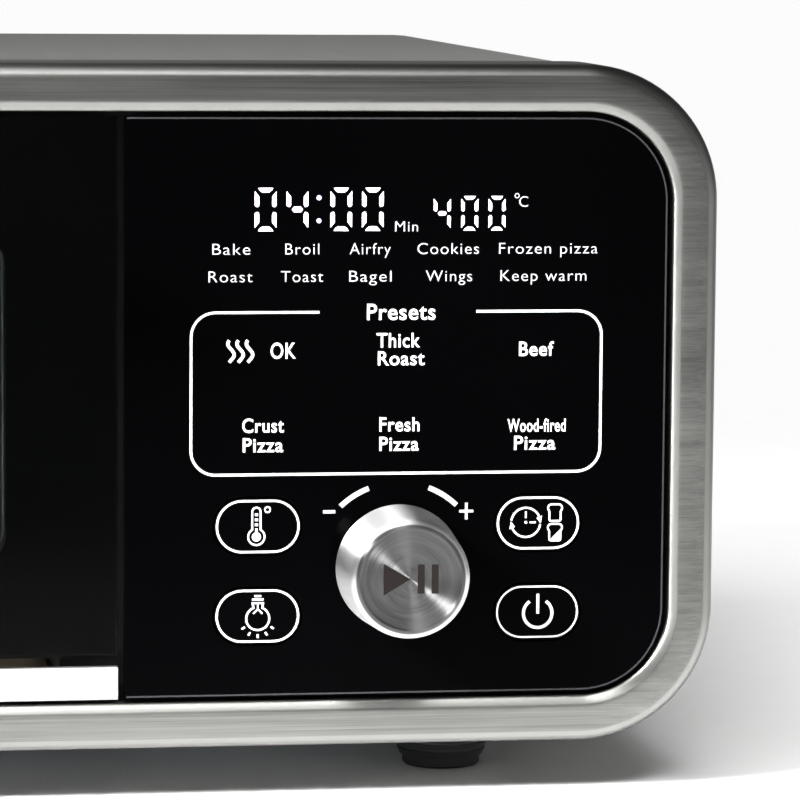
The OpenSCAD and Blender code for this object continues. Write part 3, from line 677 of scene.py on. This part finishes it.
def painted_glass_edge_highlight():
    """A thin grey line just inside the control glass: a painted highlight where its ground edge catches the
    light.
    """
    inset = 0.75
    left, right = (GLASS_LOW.x - KNOB.x) / MM, (GLASS_HIGH.x - KNOB.x) / MM - inset
    low, high = (GLASS_LOW.z - OPENING_Z) / MM + inset, (GLASS_HIGH.z - OPENING_Z) / MM - inset
    r = (OPENING_R - EDGE_GAP) / MM - inset
    # The grey stroke stands for light caught on the ground edge, a painted highlight.
    line = Print(on_panel(0.03 * MM), on_panel(0.0))
    line.stroke([(left + 0.6, low)] + arc((right - r, low + r), r, 270, 360, 24)
                + arc((right - r, high - r), r, 0, 90, 24) + [(left + 0.6, high)], 0.5)
    line.piece("painted_glass_edge_highlight", "edge_highlight_grey", "casing")


def panel_artwork():
    soft = Print(on_panel(INK), on_panel(0.0))
    for text, middle, width in ROW_ONE:
        soft.words(text, middle, 133.0, width, 3.2, -0.008, 1.12)
    for text, middle, width in ROW_TWO:
        soft.words(text, middle, 124.9, width, 3.2, -0.008, 1.12)
    soft.words("Min", 1.8, 139.7, 6.8, 3.0, -0.006, 1.1)
    soft.ring((34.8, 150.2), 0.62, 0.3)
    soft.words("C", 36.8, 146.9, 2.7, 3.1, -0.006)
    soft.piece("function_words", "ink_soft", "casing")

    bold = Print(on_panel(INK), on_panel(0.0))
    for text, middle, baseline, width, cap in BOLD:
        bold.words(text, middle, baseline, width, cap, 0.013, 1.08)
    left, right, low, high, r = -62.0, 60.7, 67.8, 115.9, 7.2
    border = [(-24.0, high)]
    for x, v, start in ((left + r, high - r, 90), (left + r, low + r, 180),
                        (right - r, low + r, 270), (right - r, high - r, 0)):
        border += arc((x, v), r, start, start + 90, 12)
    border += [(22.9, high)]
    bold.stroke(border, 0.75)
    for u in (-50.2, -47.5, -44.7):
        wave = [(u + 0.95 * math.sin(2 * math.pi * i / 22 - 0.6), 101.2 + 6.5 * i / 22) for i in range(23)]
        bold.stroke(wave, 0.95)
    bold.piece("preset_words", "ink_white", "casing")

    dial = Print(on_panel(INK), on_panel(0.0))
    v = (KNOB.z - OPENING_Z) / MM
    for start, end in ((46.6, 69.2), (110.8, 133.4)):
        dial.stroke(arc((0, v), 25.3, start, end, 16), 1.5)
    dial.stroke([(-22.6, 56.5), (-19.0, 56.5)], 0.95)
    dial.stroke([(18.3, 56.2), (22.5, 56.2)], 0.8)
    dial.stroke([(20.4, 53.7), (20.4, 55.8)], 0.8)
    dial.stroke([(20.4, 56.6), (20.4, 58.7)], 0.8)
    dial.piece("dial_marks", "ink_soft", "casing")


# ---------- lit figures ----------

SEGMENTS = {"0": "abcdef", "4": "bcfg"}


def figure(art, value, left, bottom, w, h):
    """A seven-segment figure: tapered bars that stop short of each other."""
    right, top, mid = left + w, bottom + h, bottom + h / 2
    thick, high = 0.2 * w, 0.105 * h
    bars = {}
    point, end, half = 0.24 * w, 0.33 * w, high * 0.58
    bars["g"] = [(left + point, mid), (left + end, mid + half), (right - end, mid + half),
                 (right - point, mid), (right - end, mid - half), (left + end, mid - half)]
    for name, edge, s in (("a", top, -1), ("d", bottom, 1)):
        shoulder, inner = edge + s * high * 0.55, edge + s * high
        bars[name] = [(left + 0.15 * w, edge), (right - 0.15 * w, edge), (right - 0.22 * w, shoulder),
                      (right - 0.34 * w, inner), (left + 0.34 * w, inner), (left + 0.22 * w, shoulder)]
    for name, x, inward, edge, s in (("f", left, 1, top, -1), ("b", right, -1, top, -1),
                                     ("e", left, 1, bottom, 1), ("c", right, -1, bottom, 1)):
        inner, start, tip = x + inward * thick, edge + s * 0.085 * h, mid - s * 0.06 * h
        bars[name] = [(x, start), (x + inward * 0.02 * w, start), (inner, edge + s * 0.2 * h),
                      (inner, mid - s * 0.105 * h), (x + inward * 0.16 * w, tip),
                      (x + inward * 0.08 * w, tip), (x, mid - s * 0.09 * h)]
    for name in SEGMENTS[value]:
        art.area(bars[name])


def lit_figures():
    art = Print(on_panel(INK), on_panel(0.0))
    for value, left in (("0", -43.3), ("4", -33.9), ("0", -20.9), ("0", -11.5)):
        figure(art, value, left, 139.9, 6.4, 12.7)
    for value, left in (("4", 9.9), ("0", 18.1), ("0", 26.3)):
        figure(art, value, left, 139.9, 5.05, 10.2)
    art.piece("lit_figures", "display_light", "casing")
    colon = Print(on_panel(INK), on_panel(0.0))
    for v in (142.9, 149.7):
        colon.disc((-24.3, v), 0.72)
    colon.piece("lit_colon", "colon_light", "casing")


# ---------- keys ----------

# Width, height and corner radius of the line printed on each key, in millimetres
KEY_OUTLINE = (24.3, 15.2, 7.5)


def key_print(node, stroke=0.62):
    """Starts the artwork of a key: its capsule outline, on the key's own face."""
    middle = centre_of(node)
    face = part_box(node)[0].y
    art = Print(on_face(middle.x, middle.z, face - INK), on_face(middle.x, middle.z, face))
    w, h, r = KEY_OUTLINE
    art.capsule((0, 0), w, h, r, stroke)
    return art


def temperature_icon():
    art = key_print("temperature_key")
    x, r_bulb, half = -0.4, 2.45, 1.25
    start = math.degrees(math.asin(half / r_bulb))
    outline = arc((x, -3.1), r_bulb, 90 - start, -270 + start, 26) + arc((x, 4.4), half, 180, 0, 10)
    art.stroke(outline, 0.5, True)
    art.disc((x, -3.1), 1.35)
    art.stroke([(x, -3.1), (x, -0.6)], 0.7)
    for v in (0.5, 2.0, 3.5):
        art.stroke([(x - 0.45, v), (x + 0.45, v)], 0.75)
    art.ring((2.9, 5.0), 0.8, 0.4)
    art.piece("temperature_icon", "ink_white", "key_temperature")


def light_icon():
    art = key_print("light_key")
    for v, half in ((6.0, 1.0), (4.95, 1.7)):
        art.stroke([(0.1 - half, v), (0.1 + half, v)], 0.55)
    art.stroke([(-1.75, 3.9), (1.95, 3.9)], 0.55)
    art.stroke([(-1.5, 3.9)] + arc((0.1, -0.75), 3.45, 112, 428, 36) + [(1.7, 3.9)], 0.55)
    art.stroke([(0.1, 3.8), (0.1, 2.1), (-1.25, 0.7)], 0.45)
    art.stroke([(0.1, 2.1), (1.45, 0.7)], 0.45)
    for angle in (211, 240, 270, 300, 329):
        a = math.radians(angle)
        art.stroke([(0.1 + 4.5 * math.cos(a), -0.95 + 4.5 * math.sin(a)),
                    (0.1 + 5.6 * math.cos(a), -0.95 + 5.6 * math.sin(a))], 0.55)
    art.piece("light_icon", "ink_white", "key_light")


def toast(x, low):
    """Outline of a slice of bread, its foot at (x, low)."""
    line = arc((x + 1.2, low + 0.5), 0.5, -90, 0, 4) + [(x + 1.7, low + 2.8)]
    line += arc((x + 1.05, low + 3.9), 1.1, -25, 90, 8) + arc((x - 1.05, low + 3.9), 1.1, 90, 205, 8)
    return line + [(x - 1.7, low + 2.8)] + arc((x - 1.2, low + 0.5), 0.5, 180, 270, 4)


def timer_icon():
    art = key_print("timer_key")
    c = (-3.7, 0.2)
    for start, end in ((172, 22), (-8, -158)):
        art.stroke(arc(c, 4.4, start, end, 24), 0.55)
        root, tip = math.radians(end), math.radians(end - 26)
        art.area([(c[0] + r * math.cos(a), c[1] + r * math.sin(a)) for r, a in
                  ((3.5, root), (5.3, root), (4.5, tip))])
    art.stroke([(c[0], c[1] + 3.3), (c[0], c[1] + 1.3)], 0.5)
    art.stroke([(c[0] + 1.2, c[1]), (c[0] + 3.0, c[1])], 0.5)
    art.disc(c, 0.42, 16)
    for low in (0.55, -5.35):
        art.stroke(toast(5.15, low), 0.5, True)
    art.area([(3.6, -5.2), (6.8, -5.2), (6.8, -2.0)])
    art.piece("timer_icon", "ink_white", "key_timer")


def power_icon():
    art = key_print("power_key", 0.5)
    art.stroke(arc((0.2, -0.45), 4.35, 125, 415, 40), 0.9)
    art.stroke([(0.2, 5.4), (0.2, -0.6)], 0.85)
    art.piece("power_icon", "ink_white", "key_power")


# ---------- knob ----------

# Depth of the hollow in the knob's face, in millimetres
DISH = 0.9


def knob():
    """Spun cup: slightly tapered side, rolled shoulder and a shallow dish."""
    low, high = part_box("control_knob")
    base_r = (high.x - low.x) / 2
    height = high.y - low.y
    top_r, shoulder, wall = base_r - 1.3 * MM, 2.6 * MM, 1.2 * MM
    dish_r = base_r - 3.65 * MM
    start = (0.0, height - 3.0 * MM)
    profile = [start, (top_r - wall - 1.2 * MM, height - 3.0 * MM), (top_r - wall, height - 3.4 * MM),
               (base_r - wall, 0.0), (base_r - 0.35 * MM, 0.0), (base_r, 0.35 * MM)]
    rows = 6
    profile += [(base_r + (top_r - base_r) * i / rows, 0.35 * MM + (height - shoulder - 0.35 * MM) * i / rows)
                for i in range(1, rows + 1)]
    profile += arc((top_r - shoulder, height - shoulder), shoulder, 8, 90, 12)
    profile += [(dish_r + 0.1 * MM, height - 0.03 * MM), (dish_r - 0.15 * MM, height - 0.2 * MM)]
    rings = 14
    profile += [(dish_r * (1 - i / rings), height - (0.22 + DISH * (1 - (1 - i / rings) ** 2)) * MM)
                for i in range(1, rings)]
    profile += [(0.0, height - (0.22 + DISH) * MM)]
    shape = Shape()
    shape.lathe((KNOB.x, high.y, KNOB.z), (0, -1, 0), profile, 160)
    cup = shape.piece("knob_cup", "steel_knob", "knob", 40)
    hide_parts("control_knob")

    def on_hollow(lift):
        flat = on_face(KNOB.x, KNOB.z, low.y - lift)
        reach = (dish_r / MM) ** 2
        return lambda p: flat(p) + Vector((0, (0.22 + DISH * (1 - (p[0] ** 2 + p[1] ** 2) / reach)) * MM, 0))

    mark = Print(on_hollow(0.05 * MM), on_hollow(-0.2 * MM))
    mark.area([(-8.0, 4.7), (-8.0, -4.7), (0.0, 0.0)])
    for left in (2.1, 6.2):
        mark.area([(left, 4.3), (left, -4.3), (left + 2.05, -4.3), (left + 2.05, 4.3)])
    mark.piece("knob_marks", "ink_dark", "knob")


# ---------- front surround ----------

def surround():
    """Folded steel frame swept round the opening, with a rolled inner edge.

    The profile's points, in millimetres, run outward from the opening and back from the front.
    """
    b, lip, lap, t = BORDER / MM, 6.0, (FRAME_HIGH.y - FRAME_LOW.y) / MM, 1.2
    turns = [(0.35, 62), (0.3, 47), (0.35, 35), (0.95, 26), (0.95, 24), (0.35, 19), (0.35, 13), (0.35, 6)]
    roll = [(0.0, sum(run * math.sin(math.radians(a)) for run, a in turns))]
    for run, degrees in turns:
        a = math.radians(degrees)
        out, back = roll[-1]
        roll.append((out + run * math.cos(a), back - run * math.sin(a)))
    start = roll[-1][0]
    crown = [(start + (10 - start) * i / 8, 0.49 * (i / 8) ** 2) for i in range(1, 8)]
    bend_r, bend_back = 4.74, 5.17
    outer, inner = ([(b - bend_r + r * math.sin(a), bend_back - r * math.cos(a))
                     for a in (math.radians(9 * i) for i in range(1, 11))] for r in (bend_r, bend_r - t))
    profile = [(0.0, lip)] + roll + crown + outer + [(b, lap), (b - t, lap)] + inner[::-1]
    profile += [(3.4, 1.3), (1.7, 2.9), (t, lip)]
    cx, cz = (FRAME_LOW.x + FRAME_HIGH.x) / 2, (FRAME_LOW.z + FRAME_HIGH.z) / 2
    w, h = OPENING_W / 2 - OPENING_R, OPENING_H / 2 - OPENING_R
    path = []
    for (sx, sz), start in zip(((1, 1), (-1, 1), (-1, -1), (1, -1)), (0, 90, 180, 270)):
        for i in range(25):
            a = math.radians(start + 90 * i / 24)
            path.append((cx + sx * w, cz + sz * h, math.cos(a), math.sin(a)))
    rings = []
    for x, z, dx, dz in path:
        reach = [OPENING_R + out * MM for out, _ in profile]
        rings.append([Vector((x + dx * r, FRAME_LOW.y + back * MM, z + dz * r))
                      for r, (_, back) in zip(reach, profile)])
    shape = Shape()
    shape.tube(rings, True)
    piece = shape.piece("front_surround", "steel_front", "casing", 30)
    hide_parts("front_frame")


# ---------- door ----------

def outline_ring(outer, inner, y_front, y_back):
    """A flat ring between two outlines of equal count, from y_front to y_back."""
    shape = Shape()
    n = len(outer)
    points = [Vector((x, y, z)) for y in (y_front, y_back) for line in (outer, inner) for x, z in line]
    faces = []
    for i in range(n):
        j = (i + 1) % n
        faces += [[i, j, n + j, n + i], [2 * n + i, 3 * n + i, 3 * n + j, 2 * n + j],
                  [i, 2 * n + i, 2 * n + j, j], [n + i, n + j, 3 * n + j, 3 * n + i]]
    shape.add(points, faces)
    return shape


def door_print():
    """Black print on the back of the outer pane, clear over the window."""
    low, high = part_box("door_glass")
    window_low, window_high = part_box("inner_glass")
    inset = 0.5 * MM
    big = OPENING_R - inset
    outer = rounded_outline(low.x + inset, high.x - inset, low.z + inset, high.z - inset,
                            [big, 0.2 * MM, 0.2 * MM, big], 10)
    inner = rounded_outline(window_low.x, window_high.x, window_low.z, window_high.z, [8 * MM] * 4, 10)
    shape = outline_ring(outer, inner, high.y - 0.3 * MM, high.y + 0.1 * MM)
    shape.piece("door_print", "glass_print", "door", 60)


def handle():
    """Round bar with turned end caps on two flared posts."""
    low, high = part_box("door_handle")
    r = 8 * MM
    y, z = low.y + r, (low.z + high.z) / 2
    length = high.x - low.x
    cap, edge, groove = 9 * MM, 1.4 * MM, 0.35 * MM
    turn = [(r - edge + edge * math.sin(a), edge - edge * math.cos(a)) for a in
            [math.radians(90 * i / 8) for i in range(9)]]
    start = [(0.0, 0.0)] + turn + [(r, cap - groove), (r - groove, cap - groove * 0.5), (r, cap)]
    rows = 10
    straight = [(r, cap + (length - 2 * cap) * i / rows) for i in range(1, rows)]
    profile = start + straight + [(radius, length - height) for radius, height in start[::-1]]
    shape = Shape()
    shape.lathe((low.x, y, z), (1, 0, 0), profile, 64)
    reach, post_r, post_inset = GLASS_Y - y, 5.2 * MM, 20 * MM
    flare_at = reach - 7 * MM
    post = [(0.0, 0.0), (post_r, 0.0), (post_r, flare_at)]
    post += [(post_r + 2.2 * MM * (i / 8) ** 2, flare_at + 5.6 * MM * i / 8) for i in range(1, 9)]
    post += [(7.5 * MM, reach - 1.1 * MM), (7.5 * MM, reach - 0.2 * MM), (7.2 * MM, reach), (0.0, reach)]
    for x in (low.x + post_inset, high.x - post_inset):
        shape.lathe((x, y, z), (0, 1, 0), post, 48)
    bar = shape.piece("handle_bar", "steel_handle", "door", 30)
    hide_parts("door_handle")


# ---------- feet ----------

def foot_pieces():
    """Ribbed feet that flare towards the base plate, and the rubber ring pads under them."""
    low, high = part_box("foot_pads")
    base, top = high.z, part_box("feet")[1].z - 3 * MM
    pad_r, foot_r, flare = 12 * MM, 13.0 * MM, 0.3
    rib, groove = 2.4 * MM, 0.5 * MM
    foot = [(0.0, base), (12.6 * MM, base), (foot_r, base + 0.4 * MM)]
    for i in range(1, 5):
        z = base + 0.4 * MM + i * rib
        r = foot_r + (z - base) * flare
        foot += [(r, z - 0.6 * MM), (r - groove, z - 0.3 * MM), (r - groove, z),
                 (r + 0.09 * MM, z + 0.3 * MM)]
    foot += [(17.6 * MM, top - 2.2 * MM), (18.6 * MM, top - 2 * MM), (19 * MM, top - 1.6 * MM),
             (19 * MM, top), (0.0, top)]
    pad = [(0.0, 0.6 * MM), (7 * MM, 0.6 * MM), (7.4 * MM, 0.0), (11.4 * MM, 0.0),
           (pad_r, 0.6 * MM), (pad_r, base), (0.0, base)]
    feet, pads = Shape(), Shape()
    for x in (low.x + pad_r, high.x - pad_r):
        for y in (low.y + pad_r, high.y - pad_r):
            feet.lathe((x, y, 0), (0, 0, 1), foot, 56)
            pads.lathe((x, y, 0), (0, 0, 1), pad, 56)
    body = feet.piece("foot_bodies", "plastic_black", "casing", 30)
    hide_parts("feet")
    rubber = pads.piece("foot_rubbers", "rubber_black", "casing", 30)
    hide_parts("foot_pads")


# ---------- stage ----------

def add_light(name, place, target, size, power, color=(1, 1, 1), spread=180):
    lamp = bpy.data.lights.new(name, "AREA")
    lamp.shape = "RECTANGLE"
    lamp.size, lamp.size_y = size
    lamp.energy = power
    lamp.color = color
    lamp.spread = math.radians(spread)
    holder = bpy.data.objects.new(name, lamp)
    holder.location = place
    holder.rotation_mode = "QUATERNION"
    holder.rotation_quaternion = (Vector(target) - Vector(place)).to_track_quat("-Z", "Y")
    holder.visible_camera = False
    bpy.context.scene.collection.objects.link(holder)
    return lamp


def floor_paper():
    """Wide pale floor, reaching past the horizon of every view."""
    steps, half = 24, 20.0
    points = [(half * (2 * i / steps - 1), half * (2 * j / steps - 1), -0.2 * MM)
              for j in range(steps + 1) for i in range(steps + 1)]
    row = steps + 1
    faces = [[j * row + i, j * row + i + 1, (j + 1) * row + i + 1, (j + 1) * row + i]
             for j in range(steps) for i in range(steps)]
    mesh = bpy.data.meshes.new("studio_floor")
    mesh.from_pydata(points, [], faces)
    paper = Surface("studio_paper", (0.86, 0.86, 0.86), 0.9, Specular_IOR_Level=0.0)
    paper.color(paper.noise(60.0, 4.0), (0.85, 0.85, 0.85), (0.88, 0.88, 0.88))
    mesh.materials.append(paper.material)
    floor = bpy.data.objects.new("studio_floor", mesh)
    bpy.context.scene.collection.objects.link(floor)


def studio_world():
    """Pale at the horizon, darker overhead."""
    world = bpy.data.worlds.new("studio")
    world.use_nodes = True
    tree = world.node_tree
    place = tree.nodes.new("ShaderNodeTexCoord")
    split = tree.nodes.new("ShaderNodeSeparateXYZ")
    tree.links.new(place.outputs["Generated"], split.inputs[0])
    fade = tree.nodes.new("ShaderNodeMapRange")
    fade.inputs["From Min"].default_value = 0.01
    fade.inputs["From Max"].default_value = 0.3
    fade.inputs["To Min"].default_value = 0.55
    fade.inputs["To Max"].default_value = 0.1
    tree.links.new(split.outputs["Z"], fade.inputs["Value"])
    tree.links.new(fade.outputs[0], tree.nodes["Background"].inputs["Color"])
    bpy.context.scene.world = world
    bpy.context.scene.view_settings.view_transform = "Standard"


def sun(name, toward, power, width):
    """Broad even light from the direction given."""
    lamp = bpy.data.lights.new(name, "SUN")
    lamp.energy = power
    lamp.angle = math.radians(width)
    holder = bpy.data.objects.new(name, lamp)
    holder.rotation_mode = "QUATERNION"
    holder.rotation_quaternion = Vector(toward).to_track_quat("Z", "Y")
    bpy.context.scene.collection.objects.link(holder)


def stage():
    floor_paper()
    studio_world()
    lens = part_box("lamp_lens")
    lamp_x, lamp_y, lamp_z = lens[0].x - 10 * MM, (lens[0].y + lens[1].y) / 2, (lens[0].z + lens[1].z) / 2
    add_light("cavity_lamp", (lamp_x, lamp_y, lamp_z + 0.01), (lamp_x - 0.2, lamp_y + 0.1, lamp_z - 0.02),
              (0.04, 0.04), 0.2, (1.0, 0.82, 0.6)).cycles.max_bounces = 2
    sun("soft_sun", (-0.45, -0.25, 1.1), 3.5, 50)
    add_light("top_softbox", (0.1, -1.25, 1.2), (0.1, -0.41, 0.0), (1.9, 0.4), 3.2, spread=30)
    add_light("left_softbox", (-1.3, -0.95, 1.1), (0.18, -0.2, 0.08), (0.5, 0.5), 6.5, spread=22)


# ---------- camera ----------

def camera():
    """Long lens, a little above and to the left of the control panel."""
    view_width = 237.1 * MM
    target = Vector((KNOB.x + 0.2 * MM, GLASS_Y, OPENING_Z + 89.65 * MM))
    distance = 1.3
    yaw, pitch, roll = math.radians(8.5), math.radians(6.15), math.radians(0.42)
    back = Vector((-math.sin(yaw) * math.cos(pitch), -math.cos(yaw) * math.cos(pitch), math.sin(pitch)))
    data = bpy.data.cameras.new("camera")
    data.sensor_width = 36.0
    data.lens = data.sensor_width * distance / view_width
    data.clip_start = 0.05
    data.clip_end = 50.0
    holder = bpy.data.objects.new("camera", data)
    holder.location = target + back * distance
    aim = (-back).to_track_quat("-Z", "Y").to_matrix().to_4x4() @ Matrix.Rotation(roll, 4, "Z")
    holder.rotation_euler = aim.to_euler()
    bpy.context.scene.collection.objects.link(holder)
    bpy.context.scene.camera = holder


camera()
stage()
finish_cad_nodes()
soften_nodes()
surround()
door_print()
handle()
foot_pieces()
painted_glass_edge_highlight()
panel_artwork()
lit_figures()
temperature_icon()
light_icon()
timer_icon()
power_icon()
knob()
